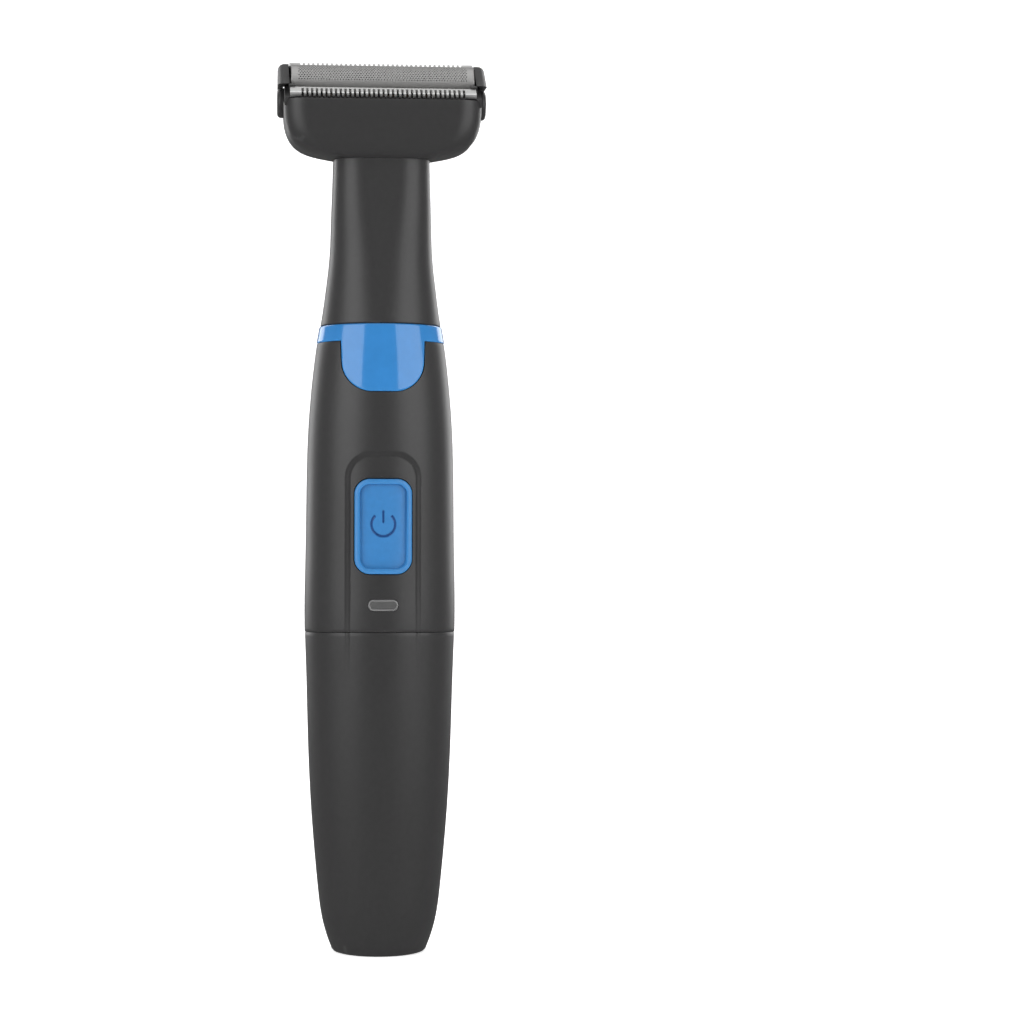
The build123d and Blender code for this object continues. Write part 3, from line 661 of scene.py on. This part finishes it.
def accent_ring():
    """The skin over band and shield, proud of the handle and rolled in at the outline."""
    rows = spaced((110.9, 118, 0.13), (118, 120.1, 0.5), (120.1, 122.1, 0.11), (122.1, 123.6, 0.3),
                  (123.6, 125.3, 0.11))[:, None]
    z = np.broadcast_to(rows, (len(rows), len(angles)))
    a = np.broadcast_to(angles, z.shape)
    for level in (-ROLL, 0.0):
        r = handle_radius(z)
        arc, z = pull_to_outline(a * r, z, lambda s, h: to_ring(s / handle_radius(h), h), level)
        a = arc / r
    distance = to_ring(a, z)
    roll = np.clip(1 + distance / ROLL, 0, 1)
    outside = skin_points(a, z, -RING_PROUD + 0.2 * roll ** 2)
    kept = keep_inside(grid_quads(*z.shape, wrap_cols=True), distance < 0.012)
    return closed_shell(outside.reshape(-1, 3), skin_points(a, z, RING_DEPTH).reshape(-1, 3), kept)


ring_points, ring_faces = accent_ring()
make_piece("blue_ring_and_tab", ring_points, ring_faces, "handle", "gloss_blue", ["accent_ring"],
           crease=50)

# %% [markdown]
# ## Neck
# The neck leaves the ring as a circle and reaches the head as a square with round corners,
# so its front gets a flat that stays dark between two soft highlights. Its section is a
# rounded rectangle whose width, depth and corner radius change with height. The same columns
# run through every section: each has a place between the corner centres and an outward
# direction, and the corner radius carries it out from there.

# %% Rounded outlines with the same columns at every height
def outline_columns(side, arc):
    """For each column, the corner centre it belongs to (from -1 to 1) and its outward direction."""
    along = np.linspace(0, 1, side + 1)[:-1]
    bend = np.radians(np.linspace(0, 90, arc + 1))[:-1]
    centres, outward = [], []
    corners = [(-1, -1), (1, -1), (1, 1), (-1, 1)]
    for k, (start, end) in enumerate(zip(corners, corners[1:] + corners[:1])):
        start, end = np.array(start, float), np.array(end, float)
        normal = radians(90 * k - 90)
        centres.append(start + (end - start) * along[:, None])
        outward.append(np.tile([np.cos(normal), np.sin(normal)], (side, 1)))
        centres.append(np.tile(end, (arc, 1)))
        outward.append(np.stack([np.cos(normal + bend), np.sin(normal + bend)], axis=-1))
    return np.concatenate(centres), np.concatenate(outward)


def outline_at(half_x, half_y, radius, columns):
    """X and Y of a rounded rectangle's columns; the sizes may be arrays with one row per height."""
    centres, outward = columns
    x = centres[:, 0] * (half_x - radius) + outward[:, 0] * radius
    y = centres[:, 1] * (half_y - radius) + outward[:, 1] * radius
    return x, y


# %% Head bowl sections, which the neck has to meet
HEAD_Y, HEAD_Z, HEAD_LEAN = -4.6, 173.5, radians(32)
# Height, half width, front and rear depth, corner radius
BOWL_SECTIONS = np.array([
    (157.4, 8.6, -9.4, 2.4, 4.0), (157.75, 11.6, -10.3, 3.9, 4.2), (158.5, 14.5, -11.0, 5.2, 4.5),
    (159.8, 16.9, -11.5, 6.4, 4.7), (161.8, 18.45, -11.75, 7.5, 4.8), (164.8, 19.3, -11.8, 8.8, 4.8),
    (170.0, 19.4, -11.8, 9.3, 4.8), (180.0, 19.4, -11.8, 9.3, 4.8),
])


def bowl_underside(x, y):
    """Height at which a point of the neck's outline runs into the bowl's rounded underside."""
    heights = np.linspace(157.4, 160.1, 55)[:, None]
    half_w, front, rear, radius = (np.interp(heights, BOWL_SECTIONS[:, 0], BOWL_SECTIONS[:, k]) for k in
                                   (1, 2, 3, 4))
    inside = from_rounded_box(x, y - (front + rear) / 2, half_w, (rear - front) / 2, radius) < -0.02
    first = np.argmax(inside, axis=0)
    return np.where(inside.any(axis=0), heights[first, 0], heights[-1, 0])


# %% Neck
NECK_SECTIONS = np.array([
    (122.0, 12.45, 12.45, 0.99), (126.5, 11.65, 11.65, 0.97), (131.5, 10.95, 10.9, 0.92),
    (138.0, 10.2, 10.1, 0.86), (146.0, 9.85, 9.65, 0.76), (154.0, 9.55, 9.4, 0.67),
    (161.0, 9.4, 9.3, 0.62),
])
NECK_WALL = 1.4
neck_columns = outline_columns(side=14, arc=22)
neck_half_x, neck_half_y, neck_round = (natural_curve(NECK_SECTIONS[:, 0], NECK_SECTIONS[:, k]) for k in
                                        (1, 2, 3))


def neck_points(z, wall):
    half_x, half_y = neck_half_x(z) - wall, neck_half_y(z) - wall
    x, y = outline_at(half_x, half_y, np.minimum(half_x, half_y) * neck_round(z), neck_columns)
    return np.stack([x, y, z + 0 * x], axis=-1)


def neck():
    """Rounded rectangles from the ring's tilted line up to the bowl's underside, and back inside."""
    _, y = outline_at(11.8, 11.8, 11.7, neck_columns)
    low = RING_HIGH_Z + LINE_GAP - y * tan(RING_TILT)
    x, y = outline_at(9.5, 9.35, 6.0, neck_columns)
    high = bowl_underside(x, y)
    lip = 0.24
    rolled = [neck_points(low + lip * (1 - np.sin(k)), lip * (1 - np.cos(k)))
              for k in np.radians((90, 60, 30))]
    t = np.concatenate([[0], np.linspace(0.006, 1, 58)])[:, None]
    outside = neck_points(low + lip + (high - low - lip) * t, 0.0)
    inside = neck_points(low + (high - low) * np.linspace(1, 0, 16)[:, None], NECK_WALL)
    return np.concatenate([rolled, outside, inside])


neck_grid = neck()
make_piece("neck_sleeve", neck_grid, grid_quads(*neck_grid.shape[:2], wrap_rows=True, wrap_cols=True),
           "handle", "soft_touch_black", ["neck_shell"], crease=50)

# %% [markdown]
# ## Power button
# A blue cap under the thumb. Its rim stands a little above the recess and its face is sunk,
# so that the thumb finds it without looking. A standby sign is engraved in the face. The
# grid is made of rounded rectangles inside one another, so the rim's edges run true along
# the outline. The sign is cut into the same grid as a shallow groove. An attribute marks
# the groove for the dark paint in it, and also carries painted shade: the face is painted a
# little darker, and the slope under the rim darker towards its top as a painted shadow.

# %% Nested outlines
def nested_outlines(half_x, half_z, radius, insets, inner_rows, columns):
    """X and Z of rounded rectangles: one per inset from the outside, then shrinking to the middle."""
    rows = [outline_at(half_x - d, half_z - d, max(radius - d, 0.2), columns) for d in insets]
    x, z = (np.array([row[k] for row in rows]) for k in (0, 1))
    shrink = np.linspace(1, 0, inner_rows + 1)[1:, None]
    return np.concatenate([x, x[-1:] * shrink]), np.concatenate([z, z[-1:] * shrink])


def back_row(count, z, depth):
    """One point on the middle line, repeated for a whole row: the closed back of a pressed-in piece."""
    return np.broadcast_to(skin_points(0.0, z, depth), (1, count, 3))


# %% Power button
SIGN_Z, SIGN_INNER_R, SIGN_OUTER_R = 85.6, 2.12, 2.5
SIGN_BAR = (1.5, 0.19, 1.2)      # middle above the ring's centre, half width, half height
SIGN_DEPTH = 0.13
FACE_DEPTH, RIM_HEIGHT = 0.75, 0.15
HOLLOW_SHADE, WALL_SHADE = 0.1, 0.55     # painted shade: how much darker the face and the upper slope are painted
FACE_INSET, RIM_ROWS = 1.36, 8     # where the face starts, and the profile rows up to the rim
button_columns = outline_columns(side=52, arc=22)


def to_sign(x, z):
    """Distance to the standby sign: a ring that is open at the top, and a bar in the opening."""
    z = z - SIGN_Z
    middle_r = (SIGN_INNER_R + SIGN_OUTER_R) / 2
    ring = np.abs(np.hypot(x, z) - middle_r) - (SIGN_OUTER_R - SIGN_INNER_R) / 2
    opening = (z - np.abs(x) * 1.05) / np.sqrt(2)
    bar = from_rounded_box(x, z - SIGN_BAR[0], SIGN_BAR[1], SIGN_BAR[2], 0.2)
    return np.minimum(np.maximum(ring, opening), bar)


def power_button():
    """Height over nested outlines: side, rolled edge, rim, inner slope, dished face, engraved sign."""
    # Inset from the outline and height above the handle's skin, from the button's foot upwards
    profile = [(0.45, -1.6), (0.1, -0.5), (0.03, -0.12), (0.12, 0.04), (0.28, 0.13), (0.5, RIM_HEIGHT),
               (0.8, 0.14), (0.97, 0.07), (1.06, -0.06), (1.14, -0.3), (1.22, -FACE_DEPTH + 0.05),
               (FACE_INSET, -FACE_DEPTH)]
    insets = [d for d, _ in profile]
    x, z = nested_outlines(BUTTON_HALF_W, BUTTON_HALF_H, BUTTON_CORNER, insets, 46, button_columns)
    x, z = pull_to_outline(x, z + BUTTON_Z, to_sign)
    height = np.full(x.shape, -FACE_DEPTH)
    height[:len(profile)] = np.array([h for _, h in profile])[:, None]
    face = np.maximum(-to_button(x, z) - FACE_INSET, 0)
    height -= 0.1 * smooth_step(face / 3.5)
    cut = (to_sign(x, z) < -0.01) & (face > 0)
    height = np.where(cut, height - SIGN_DEPTH, height)
    # Painted shade: the sunk face a little darker, and the inner slope darker towards its top as a
    # painted shadow; the sign's groove is 1 for its real paint.
    shade = np.full(x.shape, HOLLOW_SHADE)
    shade[:RIM_ROWS] = 0
    slope_rows = slice(RIM_ROWS, len(profile) - 1)
    shade[slope_rows] = WALL_SHADE * smooth_step(0.5 + (z[slope_rows] - BUTTON_Z) / BUTTON_HALF_H / 1.6)
    shade = np.where((to_sign(x, z) < 0.02) & (face > 0), 1.0, shade)
    points = skin_points(on_skin(x, z), z)
    points[..., 1] -= height
    back = back_row(x.shape[1], BUTTON_Z, 1.6)
    return np.concatenate([back, points]), np.concatenate([shade[:1], shade])


def paint(piece, mask):
    """Keep a mask on the piece's points, for the second colour of its finish: the sign's paint with
    painted shade on the button, a painted highlight on the indicator's rim.
    """
    attribute = piece.data.attributes.new("sign", "FLOAT", "POINT")
    attribute.data.foreach_set("value", mask.ravel().astype(np.float32))
    merge_points(piece.data)


# The mask carries the sign's paint and the painted shade of the face and the upper slope.
button_points, sign_and_painted_shade = power_button()
button_quads = grid_quads(*button_points.shape[:2], wrap_cols=True)
button = make_piece("power_button_cap", button_points, button_quads, "power_key", "button_blue",
                    ["power_button"], crease=40)
paint(button, sign_and_painted_shade)

# %% [markdown]
# ## Indicator
# A small clear window over the lamp. It is a pill with a slightly hollow front, and its
# side and round rim are painted lighter as a painted highlight.

# %% Indicator window
lens_columns = outline_columns(side=10, arc=16)
RIM_HIGHLIGHT_ROWS = slice(1, 5)


def indicator():
    """Nested pills: foot, side, round rim, hollow front."""
    profile = [(0.03, -1.15), (0.0, -0.32), (0.05, -0.2), (0.16, -0.13), (0.3, -0.15), (0.42, -0.24),
               (0.55, -0.3)]
    x, z = nested_outlines(LENS_HALF_W, LENS_HALF_H, LENS_HALF_H - 0.02, [d for d, _ in profile], 8,
                           lens_columns)
    z = z + LENS_Z
    height = np.full(x.shape, -0.3)
    height[:len(profile)] = np.array([h for _, h in profile])[:, None]
    base = recess_depth(x, z, -np.ones(x.shape)) - 0.1
    points = skin_points(on_skin(x, z), z, base - height - 0.1)
    back = back_row(x.shape[1], LENS_Z, 1.15)
    # Painted highlight: the side and the round rim get the lighter second colour.
    rim_highlight = np.zeros(x.shape)
    rim_highlight[RIM_HIGHLIGHT_ROWS] = 1
    return np.concatenate([back, points]), np.concatenate([rim_highlight[:1], rim_highlight])


# The mask is a painted highlight along the rim.
lens_points, painted_rim_highlight = indicator()
window = make_piece("indicator_window", lens_points, grid_quads(*lens_points.shape[:2], wrap_cols=True),
                    "handle", "clear_lens", ["indicator_lens"], crease=60)
paint(window, painted_rim_highlight)

# %% [markdown]
# ## Foil
# The shaving foil is a thin nickel sheet with hundreds of small holes, bent to an arch. Up
# close the holes show, and from further away they make the metal look matt. The sheet is a
# honeycomb of cells laid out flat. A cell in the shaving area has a hexagonal hole, and a
# cell near the edge is closed. The flat sheet is then bent round the arch, and Solidify
# gives it its thickness, which also makes the walls of the holes.

# %% From the head's own frame to the handle's
def place_on_head(x, v, n):
    """The head's frame has V from the front comb to the rear comb and N out of the cutting surface."""
    y = HEAD_Y + v * cos(HEAD_LEAN) - n * sin(HEAD_LEAN)
    z = HEAD_Z + v * sin(HEAD_LEAN) + n * cos(HEAD_LEAN)
    return np.stack(np.broadcast_arrays(x, y, z), axis=-1)


# %% Foil
FOIL_R, FOIL_HALF_V, FOIL_EDGE_N, FOIL_MIDDLE_V = 5.0, 3.3, 0.75, 0.3
FOIL_HALF_X, FOIL_LEG_N = 18.0, -2.8
FOIL_THICKNESS = 0.08
CELL_W = 0.54
HOLE_SHARE = 0.52        # the hole's size as a share of its cell


def bend_over_arch(x, s):
    """A flat place X, S on the sheet, with S across it, goes on to the arch and down its two legs."""
    half_angle = np.arcsin(FOIL_HALF_V / FOIL_R)
    centre_n = FOIL_EDGE_N - FOIL_R * np.cos(half_angle)
    turn = np.clip(s / FOIL_R, -half_angle, half_angle)
    past = np.maximum(np.abs(s) - FOIL_R * half_angle, 0)
    v, n = FOIL_MIDDLE_V + FOIL_R * np.sin(turn), centre_n + FOIL_R * np.cos(turn) - past
    return place_on_head(x, v, n)


def honeycomb(half_x, half_s, open_half_x, open_half_s):
    """Hexagonal cells clipped to a rectangle: rings round a hole inside the open area, else full."""
    radius = CELL_W / sqrt(3)
    cols = np.arange(-np.ceil(half_x / CELL_W) - 1, np.ceil(half_x / CELL_W) + 2)
    rows = np.arange(-np.ceil(half_s / (1.5 * radius)) - 1, np.ceil(half_s / (1.5 * radius)) + 2)
    col, row = (g.ravel() for g in np.meshgrid(cols, rows))
    cx, cs = (col + 0.5 * (row % 2)) * CELL_W, row * 1.5 * radius
    near = (np.abs(cx) < half_x + CELL_W / 2 - 0.02) & (np.abs(cs) < half_s + radius * 0.9)
    cx, cs = cx[near, None], cs[near, None]
    turn = np.radians(np.arange(30, 390, 60))
    outer_x = np.clip(cx + radius * np.cos(turn), -half_x, half_x)
    outer_s = np.clip(cs + radius * np.sin(turn), -half_s, half_s)
    pierced = (np.abs(cx[:, 0]) < open_half_x) & (np.abs(cs[:, 0]) < open_half_s)
    inner_x = cx + radius * HOLE_SHARE * np.cos(turn)
    inner_s = cs + radius * HOLE_SHARE * np.sin(turn)
    x, s = np.concatenate([outer_x, inner_x], axis=1), np.concatenate([outer_s, inner_s], axis=1)
    base = np.arange(len(x))[:, None] * 12
    k = np.arange(6)
    ring = np.stack([k, (k + 1) % 6, (k + 1) % 6 + 6, k + 6], axis=-1).ravel()
    rings = (base[pierced] + ring).reshape(-1, 4)
    full = base[~pierced] + k
    return x.ravel(), s.ravel(), list(rings) + list(full)


leg = FOIL_EDGE_N - FOIL_LEG_N
arc_half = FOIL_R * np.arcsin(FOIL_HALF_V / FOIL_R)
flat_x, flat_s, cells = honeycomb(FOIL_HALF_X, arc_half + leg, FOIL_HALF_X - 1.3, arc_half - 0.1)
foil_points, foil_faces = drop_unused(bend_over_arch(flat_x, flat_s), cells)
foil = make_piece("shaving_foil", foil_points, foil_faces, "cassette", "foil_steel", ["foil"],
                  crease=60, poles=True)
sheet = foil.modifiers.new("sheet_thickness", "SOLIDIFY")
sheet.thickness = FOIL_THICKNESS * MM
sheet.offset = -1

# %% [markdown]
# ## End walls under the foil
# Each end of the foil sits on an upright black wall, moulded to the same arch. The wall
# keeps hair out of the drive and is what a finger feels at the ends of the foil.

# %% End walls
END_WALL_X = (17.45, 17.95)
ARCH_INSET = 0.16


def end_walls():
    """The arch just under the foil as a plate, once at each end: two flat faces and their edges."""
    half_angle = np.arcsin(FOIL_HALF_V / FOIL_R)
    turn = np.linspace(-half_angle, half_angle, 25)
    centre_n = FOIL_EDGE_N - FOIL_R * np.cos(half_angle)
    inner_r = FOIL_R - ARCH_INSET
    v = np.concatenate([[ARCH_INSET - FOIL_HALF_V], inner_r * np.sin(turn), [FOIL_HALF_V - ARCH_INSET]])
    n = np.concatenate([[FOIL_LEG_N], centre_n + inner_r * np.cos(turn), [FOIL_LEG_N]])
    v, n = FOIL_MIDDLE_V + v[::-1], n[::-1]
    count = len(v)
    i = np.arange(count)
    edges = np.stack([i, (i + 1) % count, (i + 1) % count + count, i + count], axis=-1)
    points, faces = [], []
    for left, right in (END_WALL_X, (-END_WALL_X[1], -END_WALL_X[0])):
        start = len(points) * count
        points += [place_on_head(left, v, n), place_on_head(right, v, n)]
        faces += [i[::-1] + start, i + count + start] + list(edges + start)
    return np.concatenate(points), faces


make_piece("foil_end_walls", *end_walls(), "cassette", "head_black", crease=50)

# %% [markdown]
# ## Steel behind the rear windows
# Nine small windows in the rear skirt show the steel under it, which is where cut hair is
# knocked out. Each window gets its own thin plate, set deep in the window.

# %% Window plates
WINDOW_COUNT, WINDOW_PITCH, WINDOW_HALF_X = 9, 3.52, 1.2
WINDOW_V, WINDOW_N = (5.8, 6.15), (-3.4, -2.0)
BOX_CORNERS = np.array([(x, v, n) for x in (0, 1) for v in (0, 1) for n in (0, 1)])
BOX_FACES = np.array([(0, 1, 3, 2), (4, 6, 7, 5), (0, 4, 5, 1), (2, 3, 7, 6), (0, 2, 6, 4),
                      (1, 5, 7, 3)])


def window_plates():
    """One thin box for each window, spaced evenly to both sides of the middle."""
    middles = (np.arange(WINDOW_COUNT) - (WINDOW_COUNT - 1) / 2)[:, None] * WINDOW_PITCH
    x = middles + WINDOW_HALF_X * (2 * BOX_CORNERS[:, 0] - 1)
    v = WINDOW_V[0] + (WINDOW_V[1] - WINDOW_V[0]) * BOX_CORNERS[:, 1]
    n = WINDOW_N[0] + (WINDOW_N[1] - WINDOW_N[0]) * BOX_CORNERS[:, 2]
    faces = BOX_FACES[None] + 8 * np.arange(WINDOW_COUNT)[:, None, None]
    return place_on_head(x, v, n), faces.reshape(-1, 4)


make_piece("window_steel", *window_plates(), "cassette", "foil_steel")

# %% [markdown]
# ## Studio
# A pale floor that curves up behind the tool, and large soft lights. Two tall soft boxes
# stand left and right of the camera with a dark gap between them. They draw the bright
# bands on the polished ring, and the soft ones on the matt neck. Weaker ones behind do the
# same for the back, and a wide one overhead lights the floor and the cutting edges.

# %% Floor and backdrop
FLOOR_HALF_W, FLOOR_NEAR_Y, COVE_Y, COVE_R, WALL_TOP = 2600, -2600, 900, 500, 2600


def cove():
    """A level floor, a quarter circle and an upright wall, carried across the width."""
    turn = np.radians(np.linspace(0, 90, 13))
    bend = np.stack([COVE_Y + COVE_R * np.sin(turn), COVE_R * (1 - np.cos(turn))], axis=-1)
    side = np.concatenate([[(FLOOR_NEAR_Y, 0.0)], bend, [(COVE_Y + COVE_R, WALL_TOP)]])
    across = np.linspace(FLOOR_HALF_W, -FLOOR_HALF_W, 5)
    x, y = np.meshgrid(across, side[:, 0])
    return np.stack([x, y, np.broadcast_to(side[:, 1:], x.shape)], axis=-1)


cove_points = cove()
floor_mesh = bpy.data.meshes.new("studio_floor")
floor_mesh.from_pydata((cove_points.reshape(-1, 3) * MM).tolist(), [],
                       grid_quads(*cove_points.shape[:2]).tolist())
floor_mesh.flip_normals()
floor_mesh.polygons.foreach_set("use_smooth", np.ones(len(floor_mesh.polygons), bool))
floor = bpy.data.objects.new("studio_floor", floor_mesh)
bpy.context.scene.collection.objects.link(floor)
floor_mesh.materials.append(make_finish("pale_floor", (0.93, 0.93, 0.93), (0.85, 0.95), grain_scale=60,
                                        bump=0.0, Emission_Color=(1, 1, 1, 1), Emission_Strength=0.62))
floor.visible_glossy = False      # its glare would wash out the black casings

# %% Soft lights
AIM = (0.0, 0.0, 0.12)
# Name, degrees round from the camera's side, height, distance, width, height of box, power
SOFT_BOXES = [
    ("key_left", -56, 0.42, 0.9, 0.74, 0.8, 4.3),
    ("key_right", 52, 0.42, 0.9, 0.84, 0.8, 4.3),
    ("back_left", -146, 0.42, 0.9, 0.42, 0.8, 2.2),
    ("back_right", 144, 0.42, 0.9, 0.42, 0.8, 2.2),
]
for name, around, height, distance, width, tall, power in SOFT_BOXES:
    light_data = bpy.data.lights.new(name, "AREA")
    light_data.shape = "RECTANGLE"
    light_data.size, light_data.size_y = width, tall
    light_data.energy = power
    light = bpy.data.objects.new(name, light_data)
    turn = radians(around)
    light.location = (distance * sin(turn), -distance * cos(turn), height)
    level = np.arctan2(height - AIM[2] - 0.2, distance)
    light.rotation_euler = (radians(90) - level, 0, turn)
    bpy.context.scene.collection.objects.link(light)
overhead_data = bpy.data.lights.new("overhead", "AREA")
overhead_data.size = 1.6
overhead_data.energy = 9
overhead = bpy.data.objects.new("overhead", overhead_data)
overhead.location = (0, 0, 1.5)
bpy.context.scene.collection.objects.link(overhead)
world = bpy.data.worlds.new("studio_air")
world.use_nodes = True
world.node_tree.nodes["Background"].inputs["Color"].default_value = (1, 1, 1, 1)
seen = add_node(world.node_tree, "ShaderNodeLightPath")
strength = remap(world.node_tree, seen.outputs["Is Camera Ray"], 0.16, 1.0)
world.node_tree.links.new(strength, world.node_tree.nodes["Background"].inputs["Strength"])
bpy.context.scene.world = world
